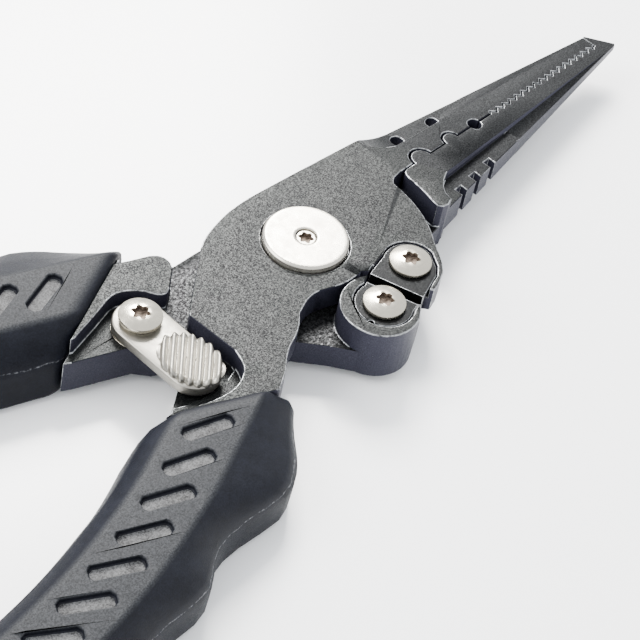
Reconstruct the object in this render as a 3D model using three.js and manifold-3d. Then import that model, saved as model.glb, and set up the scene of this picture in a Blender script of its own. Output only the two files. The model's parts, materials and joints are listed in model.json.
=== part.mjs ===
// Fishing pliers with a side cutter and a handle lock, as an assembly of separate pieces.
// Millimetres. +X runs along the closed jaws to the tip, +Y is the top arm's jaw side and +Z is up.
// The origin is on the pivot axis, in the plane that the pliers lie on.
import * as THREE from "three";
import { mergeVertices } from "three/addons/utils/BufferGeometryUtils.js";
import Module from "manifold-3d";

const wasm = await Module();
wasm.setup();

// ---- Driving dimensions ----

const BODY_BOTTOM = 1.8; // lower face of the two arms
const BODY_TOP = 12.6; // upper face of the two arms
const BODY_MID = (BODY_BOTTOM + BODY_TOP) / 2; // the lap plane, where the arms slide on each other
const LAP_GAP = 0.1;
const LAP_UPPER = BODY_MID + LAP_GAP / 2;
const LAP_LOWER = BODY_MID - LAP_GAP / 2;
const CLEAR_ABOVE = 30; // past everything, for cutting tools
const CLEAR_BELOW = -15;

const JAW_START = 27.3;
const JAW_ROOT_HALF_WIDTH = 11.15;
const JAW_END = 92.4; // where the top jaw stops behind the hooked tip
const JAW_END_HALF_WIDTH = 3.08;
const TIP_END = 96.9;
const JAW_TAPER = 0.069; // drop of each face per millimetre of length
const SEAM_HALF_GAP = 0.13;
const JAW_BACK_RADIUS = 27.5;
const LEDGE_INNER_ROOT = 5.5; // half-width of the raised flat beside the seam at the root
const LEDGE_INNER_END = 2.9;
const CRIMPS = [
  { x: 34.15, recess: 2.75, bump: 2.25 },
  { x: 43.3, recess: 2.15, bump: 1.7 },
];
const SEAM_HOLE = { x: 50.8, radius: 1.45 };
const TEETH = { from: 56, to: 92, count: 17, height: 0.9 };
const JAW_HOLES = [
  [36, 7.4],
  [45.9, 6.5],
];
const JAW_HOLE_RADIUS = 1.35;
const LINE_SLOTS = [35.2, 40.4, 45.8];
const LINE_SLOT_WIDTH = 1.75;
const LINE_SLOT_DEPTH = 1.7;
// The rounded back corner of the bottom jaw, which the groove behind it follows.
const JAW_BACK_CORNER = [
  [27.4, -2.2],
  [27.65, -1.1],
  [28.2, -0.4],
  [29, -SEAM_HALF_GAP],
];

const EAR_RADIUS = 24; // front edge of the cutter ear, about the pivot
const NECK_SWEEP_RADIUS = 11.78; // top arm's edge that the cutter boss sweeps past
const OPENING_DEG = 22;

const BOSS = { x: -1.8, y: -19.3, radius: 7.3 };
const SHEAR_Z = 10.4; // plane where the two blades pass
const BLADE_GAP = 0.05;
const CUT_START = new THREE.Vector2(3.0, -12.9); // cutting edge, inner end
const CUT_END = new THREE.Vector2(5.9, -23.05);
const UPPER_BLADE_TOP = 12.3;
const LOWER_BLADE_TOP = 12.3;
const LOWER_BLADE_BOTTOM = 8.9;
const UPPER_BLADE_SCREW = [10.6, -16.1];
const LOWER_BLADE_SCREW = [-0.8, -19.4];

const SCREW = { head: 3.9, wall: 0.75, headHeight: 1.6, shank: 1.95, socket: 1.62, socketDepth: 1.1 };
const SCREW_CLEARANCE = 2.1; // radius of the holes that the screws pass through

const PIVOT_DISC = { radius: 7.9, chamfer: 0.4, top: 13.8, bottom: 11.7 };
const PIVOT_COUNTERBORE = 8.25;
const BARREL_RADIUS = 3.9;
const BUSHING_INNER = 3.96;
const BUSHING_OUTER = 5.0;
const ARM_BORE = 5.06;
const WASHER = { inner: 7.6, outer: 9.8, thickness: 0.5 };
const PIVOT_SEAT_BOTTOM = 3.5;
const SPRING = { radius: 5.95, wire: 0.5, turns: 3.75, bottom: 4.75, top: 9.65, leg: 8.9 };
const SPRING_POCKET = 7.0;
const SPRING_POCKET_DEPTH = 3.0;
const TOP_LEG_DEG = 90;
const BOTTOM_LEG_DEG = 180;

const LEVER_SCREW = [-35.5, 6.9];
const LEVER = { halfWidth: 4.9, tipX: -36.16, tipY: -6.6, bottom: 9.4, top: 11.45, padTop: 12.7 };
const LEVER_PAD = { x: -35.7, y: -5.3, halfWidth: 5.1, halfLength: 6.7 };
const LEVER_RIBS = { pitch: 1.6, groove: 0.55, turnDeg: 40 };
const LEVER_FLOOR = 9.1; // floor that the lever turns over, on both arms
const CATCH_FLOOR = 8.3; // deeper floor that the lever's catch stud sweeps over
const CATCH_SWEEP = 18.3;
const CATCH_STUD = { x: -35.9, y: -8.7, radius: 1.3 };
const LEVER_SPACER = { outer: 4.95, bottom: 9.13, top: 9.37 };
const LEVER_WASHER = { outer: 3.3, bottom: 11.5, top: 12.2 };

const GRIP_HALF_HEIGHT = 7.2;
const GRIP_FRONT_HALF_HEIGHT = 5.75;
const GRIP_BAND = 6.0; // half-width of the flat band on each face
const GRIP_CREASE = -10.6; // the inner wall's parting line, across from the middle
const GRIP_SIDES = 18;
const GRIP_STEPS = 56;
const GRIP_CORNER = 2.4; // rounding of the front's corners in plan
const GRIP_SWELL = 3.7; // least distance that the outer bevel stands out from the band
const FINGER_SWELLS = [
  { at: 20.4, height: 5.9, ahead: 14.5, behind: 5.6 },
  { at: 41.3, height: 2.3, ahead: 6, behind: 5.3 },
  { at: 62.3, height: 2.0, ahead: 6, behind: 5.3 },
  { at: 83.3, height: 1.8, ahead: 6, behind: 6 },
];
const TOP_GRIP_FRONT = -1;
const BOTTOM_GRIP_FRONT = -4; // the bottom grip reaches a little further forward
const HANDLE_LEAD = 3;
const HANDLE_SKEW = 43; // degrees that the grip's front leans from square
const WINDOW_SKEW = 50;
const BOTTOM_HANDLE_TURN = 2.4; // degrees
const NECK_HALF_WIDTH = 5.8; // of the handle's root inside the grip's mouth
const NECK_STEP = 0.8; // that the root stands below the arm's faces
const TANG_HALF_WIDTH = 4.6;
const TANG_HALF_HEIGHT = 4.0;
const TANG_FROM = 9;
const TANG_TO = 90;
const FIT_GAP = 0.15;
const EYE = { radius: 4.2, reach: 3.2, hole: 2.4, thickness: 5 }; // lanyard eye past the top grip
const WINDOWS = { count: 11, first: 6.3, pitch: 8.15, halfLength: 4.7, halfWidth: 1.45, depth: 1.0 };

// ---- Making solids ----

// A closed three.js geometry as a solid with its faces pointing out.
function solidOf(geometry) {
  geometry.deleteAttribute("normal");
  geometry.deleteAttribute("uv");
  const merged = mergeVertices(geometry, 1e-4);
  const vertProperties = new Float32Array(merged.attributes.position.array);
  const triVerts = new Uint32Array(merged.index.array);
  const solid = new wasm.Manifold(new wasm.Mesh({ numProp: 3, vertProperties, triVerts }));
  if (solid.volume() >= 0) return solid;
  triVerts.reverse();
  return new wasm.Manifold(new wasm.Mesh({ numProp: 3, vertProperties, triVerts }));
}

function meshOf(name, solid, look) {
  const { vertProperties, triVerts, numProp, numVert } = solid.getMesh();
  const position = new Float32Array(numVert * 3);
  for (let i = 0; i < numVert; i++) {
    position.set(vertProperties.subarray(i * numProp, i * numProp + 3), i * 3);
  }
  const geometry = new THREE.BufferGeometry();
  geometry.setAttribute("position", new THREE.BufferAttribute(position, 3));
  geometry.setIndex(new THREE.BufferAttribute(new Uint32Array(triVerts), 1));
  geometry.computeVertexNormals();
  const mesh = new THREE.Mesh(geometry, new THREE.MeshStandardMaterial(look));
  mesh.name = name;
  return mesh;
}

function prism(shape, from, to, curveSegments = 10) {
  const geometry = new THREE.ExtrudeGeometry(shape, {
    depth: to - from,
    bevelEnabled: false,
    curveSegments,
  });
  return solidOf(geometry.translate(0, 0, from));
}

function polygon(points) {
  return new THREE.Shape(points.map(([x, y]) => new THREE.Vector2(x, y)));
}

function circle(x, y, radius) {
  return new THREE.Shape().absarc(x, y, radius, 0, 2 * Math.PI, false);
}

function cylinder(x, y, radius, from, to, segments = 14) {
  return prism(circle(x, y, radius), from, to, segments);
}

// A solid of revolution about a vertical axis; the profile is a closed list of [radius, z].
function turned(profile, x = 0, y = 0, segments = 36) {
  const points = [...profile, profile[0]].map(([r, z]) => new THREE.Vector2(r, z));
  const geometry = new THREE.LatheGeometry(points, segments);
  return solidOf(geometry.rotateX(Math.PI / 2).translate(x, y, 0));
}

// A prism that runs along Y, from a side profile of [x, z].
function sideProfile(points, halfWidth) {
  const geometry = new THREE.ExtrudeGeometry(polygon(points), {
    depth: 2 * halfWidth,
    bevelEnabled: false,
  });
  return solidOf(geometry.rotateX(Math.PI / 2).translate(0, halfWidth, 0));
}

const onCircle = (radius, degrees, x = 0, y = 0) => [
  x + radius * Math.cos(THREE.MathUtils.degToRad(degrees)),
  y + radius * Math.sin(THREE.MathUtils.degToRad(degrees)),
];

function arcPoints(radius, fromDeg, toDeg, steps, x = 0, y = 0) {
  const points = [];
  for (let i = 0; i <= steps; i++) {
    points.push(onCircle(radius, fromDeg + ((toDeg - fromDeg) * i) / steps, x, y));
  }
  return points;
}

// A smooth line through the given points.
function smooth(points, steps) {
  const curve = new THREE.SplineCurve(points.map(([x, y]) => new THREE.Vector2(x, y)));
  return curve.getPoints(steps).map((p) => [p.x, p.y]);
}

// The outline moved outwards by a distance; the outline runs counter-clockwise.
function grow(points, distance) {
  return points.map(([x, y], i) => {
    const [px, py] = points[(i + points.length - 1) % points.length];
    const [nx, ny] = points[(i + 1) % points.length];
    const before = new THREE.Vector2(x - px, y - py).normalize();
    const after = new THREE.Vector2(nx - x, ny - y).normalize();
    const normal = new THREE.Vector2(before.y + after.y, -before.x - after.x).normalize();
    const spread = distance / Math.max(0.5, normal.dot(new THREE.Vector2(before.y, -before.x)));
    return [x + normal.x * spread, y + normal.y * spread];
  });
}

// A bar whose section changes along its length: a cylinder's rings are moved to the sections.
// section(u) lists the points round the section, place(u, across, height) puts one in space.
function loft(sides, steps, section, place) {
  const geometry = new THREE.CylinderGeometry(1, 1, 1, sides, steps);
  const position = geometry.attributes.position;
  const rings = Array.from({ length: steps + 1 }, (_, i) => section(i / steps));
  for (let i = 0; i < position.count; i++) {
    const u = 0.5 - position.getY(i);
    const radius = Math.hypot(position.getX(i), position.getZ(i));
    const turn = Math.atan2(position.getX(i), position.getZ(i)) / (2 * Math.PI);
    const side = Math.round((turn + 1) * sides) % sides;
    const ring = rings[Math.round(u * steps)];
    const [across, height] = radius < 0.5 ? [0, 0] : ring[side];
    const point = place(u, across, height);
    position.setXYZ(i, point.x, point.y, point.z);
  }
  return solidOf(geometry);
}

// ---- Jaws ----

const jawEdge = (x) =>
  JAW_ROOT_HALF_WIDTH +
  ((JAW_END_HALF_WIDTH - JAW_ROOT_HALF_WIDTH) * (x - JAW_START)) / (JAW_END - JAW_START);

// The parting line from root to tip, as one jaw has it: side is 1 on the top arm, -1 on the bottom arm.
function seam(side) {
  const y = side * SEAM_HALF_GAP;
  const points = [[29, y]];
  for (const crimp of CRIMPS) {
    const radius = side > 0 ? crimp.recess : crimp.bump;
    const lift = THREE.MathUtils.radToDeg(Math.asin(y / radius));
    points.push(...arcPoints(radius, 180 - lift, lift, 10, crimp.x, 0));
  }
  points.push([TEETH.from, y]);
  const pitch = (TEETH.to - TEETH.from) / TEETH.count;
  for (let i = 0; i < TEETH.count; i++) {
    points.push([TEETH.from + (i + 0.25) * pitch, y + TEETH.height / 2]);
    points.push([TEETH.from + (i + 0.75) * pitch, y - TEETH.height / 2]);
  }
  points.push([TEETH.to, y]);
  return points;
}

// Everything between the two tapering faces of the jaws.
function taperedSlab() {
  const end = 100;
  const drop = JAW_TAPER * (end - JAW_START);
  return sideProfile(
    [
      [-200, BODY_BOTTOM],
      [JAW_START, BODY_BOTTOM],
      [end, BODY_BOTTOM + drop],
      [end, BODY_TOP - drop],
      [JAW_START, BODY_TOP],
      [-200, BODY_TOP],
    ],
    60,
  );
}

// The strip along a jaw's outer edge, above and below its thinned ledge. side is 1 for the top jaw,
// where the ledge starts sooner and ramps down from the arm's face.
function ledgeCut(side) {
  const lead = side > 0 ? 2.2 : 0;
  const inner = [
    [29.2 - lead, 14],
    [29.5 - lead, 10.9],
    [30 - lead, 9],
    [31.1 - lead, 7.7],
    [32.7 - lead, 6.5],
    [34.8 - lead, LEDGE_INNER_ROOT],
    [92, LEDGE_INNER_END],
    [99, LEDGE_INNER_END],
    [99, 14],
  ];
  const column = prism(
    polygon(inner.map(([x, y]) => [x, side * y])),
    CLEAR_BELOW,
    CLEAR_ABOVE,
  );
  const ramp = smooth(
    [
      [26, 13],
      [28.2, 12.4],
      [30, 11.6],
      [33, 10.5],
      [36, 9.95],
    ],
    10,
  );
  const start = side > 0 ? ramp : [[28, 10.25]];
  const upper = [...start, [56, 9.2], [92, 8.12], [99.5, 8]];
  const lower = upper.map(([x, z]) => [x, 2 * BODY_MID - z]).reverse();
  return column.subtract(sideProfile([...upper, ...lower], 40));
}

function topJaw() {
  const outline = [
    ...seam(1),
    [JAW_END, SEAM_HALF_GAP],
    [JAW_END, jawEdge(JAW_END)],
    [28.4, jawEdge(28.4)],
    [26.9, 10.9],
    ...arcPoints(JAW_BACK_RADIUS, 21, 3, 6),
  ];
  let jaw = prism(polygon(outline), BODY_BOTTOM, BODY_TOP);
  for (const [x, y] of JAW_HOLES) {
    jaw = jaw.subtract(cylinder(x, y, JAW_HOLE_RADIUS, CLEAR_BELOW, CLEAR_ABOVE, 10));
  }
  return jaw;
}

function bottomJaw() {
  const outline = [
    ...seam(-1),
    [JAW_END + 0.2, -SEAM_HALF_GAP],
    [JAW_END + 0.2, 3.1],
    [JAW_END + 0.7, 3.3],
    [TIP_END, -2.3],
    [TIP_END - 0.5, -jawEdge(TIP_END - 0.5)],
    [28.9, -jawEdge(28.9)],
    [27.9, -11.4],
    [26.6, -11.1],
    [25.9, -10.2],
    ...arcPoints(JAW_BACK_RADIUS, -21, -7, 5).slice(1),
    ...JAW_BACK_CORNER.slice(0, -1),
  ];
  let jaw = prism(polygon(outline), BODY_BOTTOM, BODY_TOP);
  for (const x of LINE_SLOTS) {
    const left = x - LINE_SLOT_WIDTH / 2;
    const right = x + LINE_SLOT_WIDTH / 2;
    const floor = LINE_SLOT_DEPTH - jawEdge(x);
    const slot = polygon([
      [left, floor],
      [left, -14],
      [right, -14],
      [right, floor],
    ]);
    jaw = jaw.subtract(prism(slot, CLEAR_BELOW, CLEAR_ABOVE));
  }
  return jaw;
}

// ---- Handles ----

// Middle of the top arm's handle in plan, from just ahead of the grip's front to its butt.
const HANDLE_LINE = new THREE.SplineCurve(
  [
    [-37.4, -15.1],
    [-46.2, -18.6],
    [-61.5, -24.2],
    [-77.4, -28.3],
    [-93.3, -30.6],
    [-109.3, -31.3],
    [-121.5, -30.6],
    [-130.5, -29.2],
  ].map(([x, y]) => new THREE.Vector2(x, y)),
);
const HANDLE_LENGTH = HANDLE_LINE.getLength() - HANDLE_LEAD;

// Share of the handle's length, for the curve's own functions.
const shareOf = (along) =>
  THREE.MathUtils.clamp((along + HANDLE_LEAD) / (HANDLE_LENGTH + HANDLE_LEAD), 0, 1);

// Direction across the handle towards its outer side, turned from square by a skew in degrees.
function acrossHandle(along, skew) {
  const tangent = HANDLE_LINE.getTangentAt(shareOf(along));
  return tangent.rotateAround(new THREE.Vector2(), THREE.MathUtils.degToRad(90 + skew));
}

// A point of the top arm's handle: along it from the top grip's front, across square to it, z its height.
// The sections are oblique, as the grip's windows are, and turn square towards the butt.
function handlePoint(along, across, z) {
  const squaring = THREE.MathUtils.smoothstep(along, HANDLE_LENGTH - 34, HANDLE_LENGTH - 4);
  const skew = HANDLE_SKEW * (1 - squaring);
  const squareness = Math.cos(THREE.MathUtils.degToRad(skew));
  const at = HANDLE_LINE.getPointAt(shareOf(along));
  const straightAhead = Math.min(0, along + HANDLE_LEAD);
  at.addScaledVector(HANDLE_LINE.getTangentAt(shareOf(along)), straightAhead);
  at.addScaledVector(acrossHandle(along, skew), across / squareness);
  return new THREE.Vector3(at.x, at.y, z);
}

const inPlan = (along, across) => {
  const point = handlePoint(along, across, 0);
  return [point.x, point.y];
};

// How far the outer side stands out from the flat band, with a swell between each two fingers.
function fingerSwell(along) {
  let swell = GRIP_SWELL;
  for (const { at, height, ahead, behind } of FINGER_SWELLS) {
    swell += height * Math.exp(-(((along - at) / (along < at ? ahead : behind)) ** 2));
  }
  return swell;
}

// Share of the full size at a distance from an end that is rounded as a quarter circle.
const roundedEnd = (distance, radius) => Math.sqrt(1 - Math.max(0, 1 - distance / radius) ** 2);

// The grip's section: a flat band on top, a bevel down to the parting line on each side,
// and steep walls down to a flat underside.
function gripSection(along, front) {
  const ahead = along - front;
  const behind = HANDLE_LENGTH - along;
  const rise = Math.min(roundedEnd(ahead, 4), 0.3 + 0.7 * roundedEnd(behind, 4));
  const half = GRIP_FRONT_HALF_HEIGHT + (GRIP_HALF_HEIGHT - GRIP_FRONT_HALF_HEIGHT) * rise;
  const butt = 0.45 + 0.55 * roundedEnd(behind, 7);
  const inset = GRIP_CORNER * (1 - roundedEnd(ahead, GRIP_CORNER));
  const band = GRIP_BAND * butt;
  const inner = GRIP_CREASE * butt + inset;
  const swell = fingerSwell(along) * butt - inset;
  const outer = band + swell;
  return [
    [inner, 1],
    [inner + 0.35, 2.2],
    [inner + 1.6, half - 2.2],
    [-band - 0.3, half - 0.3],
    [-band + 0.8, half],
    [band - 0.8, half],
    [band + 0.1, half - 0.3],
    [band + 0.42 * swell, half - 2.2],
    [band + 0.84 * swell, 2.6],
    [outer, 0.4],
    [outer - 0.1, -2.5],
    [outer - 0.3, -half + 1.2],
    [outer - 1.2, -half + 0.2],
    [outer - 2.4, -half],
    [inner + 1.2, -half],
    [inner - 0.6, -half + 0.3],
    [inner - 1.2, -half + 1.4],
    [inner - 0.3, 0.2],
  ];
}

// Turns a solid of the top arm into the bottom arm's: mirrored in the line of the jaws,
// and then a little further out about the pivot.
function toBottomArm(solid) {
  return solid.mirror([0, 1, 0]).rotate([0, 0, -BOTTOM_HANDLE_TURN]);
}

// The core that the grip is pushed over; the gap widens it to the grip's socket.
function tang(gap) {
  const half = TANG_HALF_WIDTH + gap;
  const height = TANG_HALF_HEIGHT + gap;
  const section = () => [
    [-half, -height],
    [half, -height],
    [half, height],
    [-half, height],
  ];
  const from = TANG_FROM - gap;
  const to = TANG_TO + gap;
  const place = (u, across, z) => handlePoint(from + u * (to - from), across - 0.8, BODY_MID + z);
  return loft(4, 26, section, place);
}

// The stem of the lanyard eye, which runs out through the top grip's butt.
function lanyardStem(gap) {
  const [x, y] = inPlan(HANDLE_LENGTH, -0.8);
  const [innerX, innerY] = inPlan(TANG_TO - 2, -0.8);
  const turn = THREE.MathUtils.radToDeg(Math.atan2(y - innerY, x - innerX));
  const radius = EYE.radius + gap;
  const stem = polygon([
    [-12, -radius],
    ...arcPoints(radius, -90, 90, 10, EYE.reach, 0),
    [-12, radius],
  ]);
  const half = EYE.thickness / 2 + gap;
  return prism(stem, BODY_MID - half, BODY_MID + half)
    .subtract(cylinder(EYE.reach, 0, EYE.hole, CLEAR_BELOW, CLEAR_ABOVE, 8))
    .rotate([0, 0, turn])
    .translate([x, y, 0]);
}

// The broad root of the handle inside the grip's mouth.
function neckRoot(front, gap) {
  const ahead = front - 0.6 - 3 * gap;
  const outline = polygon([
    inPlan(ahead, -NECK_HALF_WIDTH - gap),
    inPlan(front + 6, -NECK_HALF_WIDTH - gap),
    inPlan(TANG_FROM + 3 + gap, -4 - gap),
    inPlan(TANG_FROM + 3 + gap, 4 + gap),
    inPlan(front + 6, NECK_HALF_WIDTH + gap),
    inPlan(ahead, NECK_HALF_WIDTH + gap),
  ]);
  return prism(outline, BODY_BOTTOM + NECK_STEP - gap, BODY_TOP - NECK_STEP + gap);
}

// Everything behind a grip's front line.
function behindFront(front) {
  const back = new THREE.Vector2(-90, -30);
  const inner = inPlan(front, -26);
  const outer = inPlan(front, 26);
  const outline = polygon([
    inner,
    outer,
    [outer[0] + back.x, outer[1] + back.y],
    [inner[0] + back.x, inner[1] + back.y],
  ]);
  return prism(outline, CLEAR_BELOW, CLEAR_ABOVE);
}

function gripWindow(along, face) {
  const [x, y] = inPlan(along, 0);
  const direction = acrossHandle(along, WINDOW_SKEW);
  const turn = THREE.MathUtils.radToDeg(Math.atan2(direction.y, direction.x));
  const { halfLength, halfWidth, depth } = WINDOWS;
  const corner = 0.8;
  const outline = polygon([
    [-halfLength + corner, -halfWidth],
    [halfLength - corner, -halfWidth],
    [halfLength, -halfWidth + corner],
    [halfLength, halfWidth - corner],
    [halfLength - corner, halfWidth],
    [-halfLength + corner, halfWidth],
    [-halfLength, halfWidth - corner],
    [-halfLength, -halfWidth + corner],
  ]);
  const floor = GRIP_HALF_HEIGHT - depth;
  const cut = prism(outline, floor, floor + 5).rotate([0, 0, turn]);
  return (face > 0 ? cut : cut.mirror([0, 0, 1])).translate([x, y, BODY_MID]);
}

function topGrip() {
  return gripSolid(TOP_GRIP_FRONT).subtract(lanyardStem(FIT_GAP));
}

function gripSolid(front) {
  const length = HANDLE_LENGTH - front;
  // The sections lie closer together at both ends.
  const station = (u) => front + length * (u - (0.7 * Math.sin(2 * Math.PI * u)) / (2 * Math.PI));
  const section = (u) => gripSection(station(u), front);
  const place = (u, across, z) => handlePoint(station(u), across, BODY_MID + z);
  let grip = loft(GRIP_SIDES, GRIP_STEPS, section, place);
  grip = grip.subtract(tang(FIT_GAP)).subtract(neckRoot(front, FIT_GAP));
  for (let i = 0; i < WINDOWS.count; i++) {
    const along = WINDOWS.first + i * WINDOWS.pitch;
    grip = grip.subtract(gripWindow(along, 1)).subtract(gripWindow(along, -1));
  }
  return grip;
}

// ---- Arms ----

// The stretch of the top arm's edge that leaves room for the cutter boss when the pliers open.
function bossScoop() {
  const turn = THREE.MathUtils.degToRad(-OPENING_DEG);
  const open = new THREE.Vector2(BOSS.x, BOSS.y).rotateAround(new THREE.Vector2(), turn);
  const clear = BOSS.radius + 0.3;
  return [
    ...arcPoints(NECK_SWEEP_RADIUS, -72, -112, 8),
    ...arcPoints(clear, 78, 112, 5, open.x, open.y),
  ];
}

function topArmPlate() {
  const shoulder = smooth(
    [
      [17.4, 12.3],
      [7.4, 13.4],
      [-1.6, 14.2],
      [-7.6, 13.8],
      [-12.7, 12.6],
      [-15.7, 11.2],
    ],
    14,
  );
  const pocketEdge = smooth(
    [
      [-29, -9.2],
      [-30.9, -13.1],
      [-35.4, -14.9],
      [-40.9, -14.1],
      [-45.9, -12],
    ],
    14,
  );
  const neckEdge = smooth(
    [
      [-30, -20.4],
      [-26, -18.3],
      [-23.5, -16.4],
      [-20.9, -14.9],
      [-18.4, -14],
      [-15.9, -12.6],
      [-14.0, -11],
    ],
    12,
  );
  const outline = [
    ...arcPoints(EAR_RADIUS, -24, -4.6, 6),
    [24.1, -1.2],
    [24.6, -0.6],
    [25.5, -0.1],
    [27.4, SEAM_HALF_GAP],
    [30, SEAM_HALF_GAP],
    [30, 9],
    [JAW_START, JAW_ROOT_HALF_WIDTH],
    ...shoulder,
    [-28.5, 2],
    [-29, 1.4],
    ...pocketEdge,
    [-51, -11.2],
    [-56, -20],
    [-34, -21],
    ...neckEdge,
    ...bossScoop().reverse(),
  ];
  return prism(polygon(outline), LAP_UPPER, BODY_TOP);
}

// The pocket floor beside the plate, which the lever's tip lies over.
function topArmPocketFloor() {
  const outline = polygon([
    [-27, 0],
    [-29, 0],
    [-45, -9.8],
    [-53, -14.2],
    [-50, -20],
    [-34, -19],
    [-27, -12],
  ]);
  const sweep = cylinder(...LEVER_SCREW, CATCH_SWEEP, CATCH_FLOOR, CLEAR_ABOVE, 18);
  const plain = prism(outline, LAP_UPPER, LEVER_FLOOR);
  return plain.subtract(sweep);
}

function topArmLowerNeck() {
  const outline = polygon([
    [-22.6, -12.6],
    [-23.3, -11.3],
    [-34, -5.9],
    [-45, -9.8],
    [-53, -14.2],
    [-50, -20],
    [-34, -21],
    [-30, -20.4],
    [-26, -18.3],
    [-23.5, -16.4],
    [-22.4, -14.6],
  ]);
  const neck = prism(outline, BODY_BOTTOM, LAP_UPPER + 0.5);
  const sweep = cylinder(...LEVER_SCREW, CATCH_SWEEP, CATCH_FLOOR, CLEAR_ABOVE, 18);
  return neck.subtract(sweep);
}

const cutDirection = CUT_END.clone().sub(CUT_START).normalize();

// A point beside the cutting edge: along it from its inner end, and to its right.
function byCuttingEdge(along, right) {
  return [
    CUT_START.x + cutDirection.x * along - cutDirection.y * right,
    CUT_START.y + cutDirection.y * along + cutDirection.x * right,
  ];
}

const CUT_LENGTH = CUT_END.distanceTo(CUT_START);

function upperBladeOutline() {
  return [
    [CUT_START.x, CUT_START.y],
    [CUT_END.x, CUT_END.y],
    [11.5, -21.4],
    [13.5, -19.9],
    [14.6, -18.2],
    ...arcPoints(4.9, -12, 118, 10, ...UPPER_BLADE_SCREW),
  ];
}

function cutterEar() {
  const outline = polygon([
    ...arcPoints(EAR_RADIUS, -6, -41.5, 10),
    [16.5, -18.1],
    [14.9, -20.2],
    [13.4, -21.6],
    [10.9, -22.8],
    [8.6, -23.4],
    byCuttingEdge(CUT_LENGTH - 0.5, 1.9),
    byCuttingEdge(-0.35, 1.9),
    byCuttingEdge(-0.35, 0.2),
    [2.05, -11.6],
    [4, -9],
    [14, -5],
  ]);
  const pocket = polygon(grow(upperBladeOutline(), 0.25));
  const opening = polygon([
    byCuttingEdge(-0.1, -0.3),
    byCuttingEdge(CUT_LENGTH, -0.3),
    byCuttingEdge(CUT_LENGTH - 0.3, 4),
    byCuttingEdge(4, 4),
    byCuttingEdge(0.5, 1),
  ]);
  const ear = prism(outline, LAP_UPPER, BODY_TOP);
  const floor = SHEAR_Z - 0.02;
  return { ear, pocket: [prism(pocket, floor, CLEAR_ABOVE), prism(opening, floor, CLEAR_ABOVE)] };
}

// Hollows round the pivot that both arms share: bore, spring pocket, washer recess and spring leg slot.
function pivotHollows(side, legDeg) {
  const lap = side > 0 ? LAP_UPPER : LAP_LOWER;
  const level = (depth) => lap + side * depth;
  const span = (a, b) => [Math.min(a, b), Math.max(a, b)];
  const pocket = cylinder(0, 0, SPRING_POCKET, ...span(level(-1), level(SPRING_POCKET_DEPTH)));
  const recess = turned([
    [WASHER.inner - 0.1, level(-1)],
    [WASHER.outer + 0.1, level(-1)],
    [WASHER.outer + 0.1, level(WASHER.thickness / 2)],
    [WASHER.inner - 0.1, level(WASHER.thickness / 2)],
  ]);
  const leg = polygon([
    [5, -0.9],
    [SPRING.leg + 0.6, -0.9],
    [SPRING.leg + 0.6, 0.9],
    [5, 0.9],
  ]);
  const slot = prism(leg, ...span(level(-1), level(SPRING_POCKET_DEPTH))).rotate([0, 0, legDeg]);
  return cylinder(0, 0, ARM_BORE, CLEAR_BELOW, CLEAR_ABOVE).add(pocket).add(recess).add(slot);
}

function topArm() {
  const { ear, pocket } = cutterEar();
  const discSeat = cylinder(0, 0, PIVOT_COUNTERBORE, PIVOT_DISC.bottom - 0.4, CLEAR_ABOVE);
  let arm = topArmPlate()
    .add(topArmPocketFloor())
    .add(topArmLowerNeck())
    .add(ear)
    .add(topJaw())
    .intersect(taperedSlab())
    .subtract(behindFront(TOP_GRIP_FRONT))
    .add(neckRoot(TOP_GRIP_FRONT, 0))
    .add(tang(0))
    .add(lanyardStem(0));
  for (const cut of pocket) arm = arm.subtract(cut);
  return arm
    .subtract(ledgeCut(1))
    .subtract(discSeat)
    .subtract(pivotHollows(1, TOP_LEG_DEG))
    .subtract(cylinder(...UPPER_BLADE_SCREW, SCREW_CLEARANCE, LAP_UPPER - 1, CLEAR_ABOVE));
}

// Inner edge of the bottom arm's neck, from inside the grip towards the pivot.
const BOTTOM_NECK_EDGE = [
  [-54, 11.5],
  [-49.5, 9.1],
  [-38.9, 4.6],
  [-36.7, 1.9],
  [-34.2, 0.5],
  [-32.2, -0.1],
];

function bottomArmPlate() {
  const outline = [
    ...arcPoints(EAR_RADIUS, -4, 24, 8),
    [14, 11.4],
    [0, 13.2],
    [-8, 13.4],
    [-12, 14],
    [-18.4, 14.3],
    [-23.2, 15.4],
    [-30.2, 18.6],
    [-34, 20],
    [-52, 17],
    ...BOTTOM_NECK_EDGE,
    [-29.6, -1],
    [-28.5, -1.8],
    [-16.4, -11.2],
    [-11.6, -17.1],
    ...arcPoints(BOSS.radius, 195, 300, 10, BOSS.x, BOSS.y),
    [5.4, -23.9],
    [11, -15.6],
    [17.4, -12.3],
    [JAW_START, -JAW_ROOT_HALF_WIDTH],
    [30, -10],
    [30, -SEAM_HALF_GAP],
    ...JAW_BACK_CORNER.slice().reverse(),
  ];
  return prism(polygon(outline), BODY_BOTTOM, LAP_LOWER);
}

// The bottom arm's neck under the lock lever, which stands higher than the lap.
function bottomArmLeverSeat() {
  const outline = [
    [-25.5, 10.5],
    [-26.8, 8.6],
    [-28.8, 6.3],
    [-30.6, 3.6],
    [-31.6, 1.2],
    ...BOTTOM_NECK_EDGE.slice().reverse(),
    [-52, 17],
    [-34, 18],
    [-28, 15],
  ];
  return prism(polygon(outline), LAP_LOWER - 1, LEVER_FLOOR);
}

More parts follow.
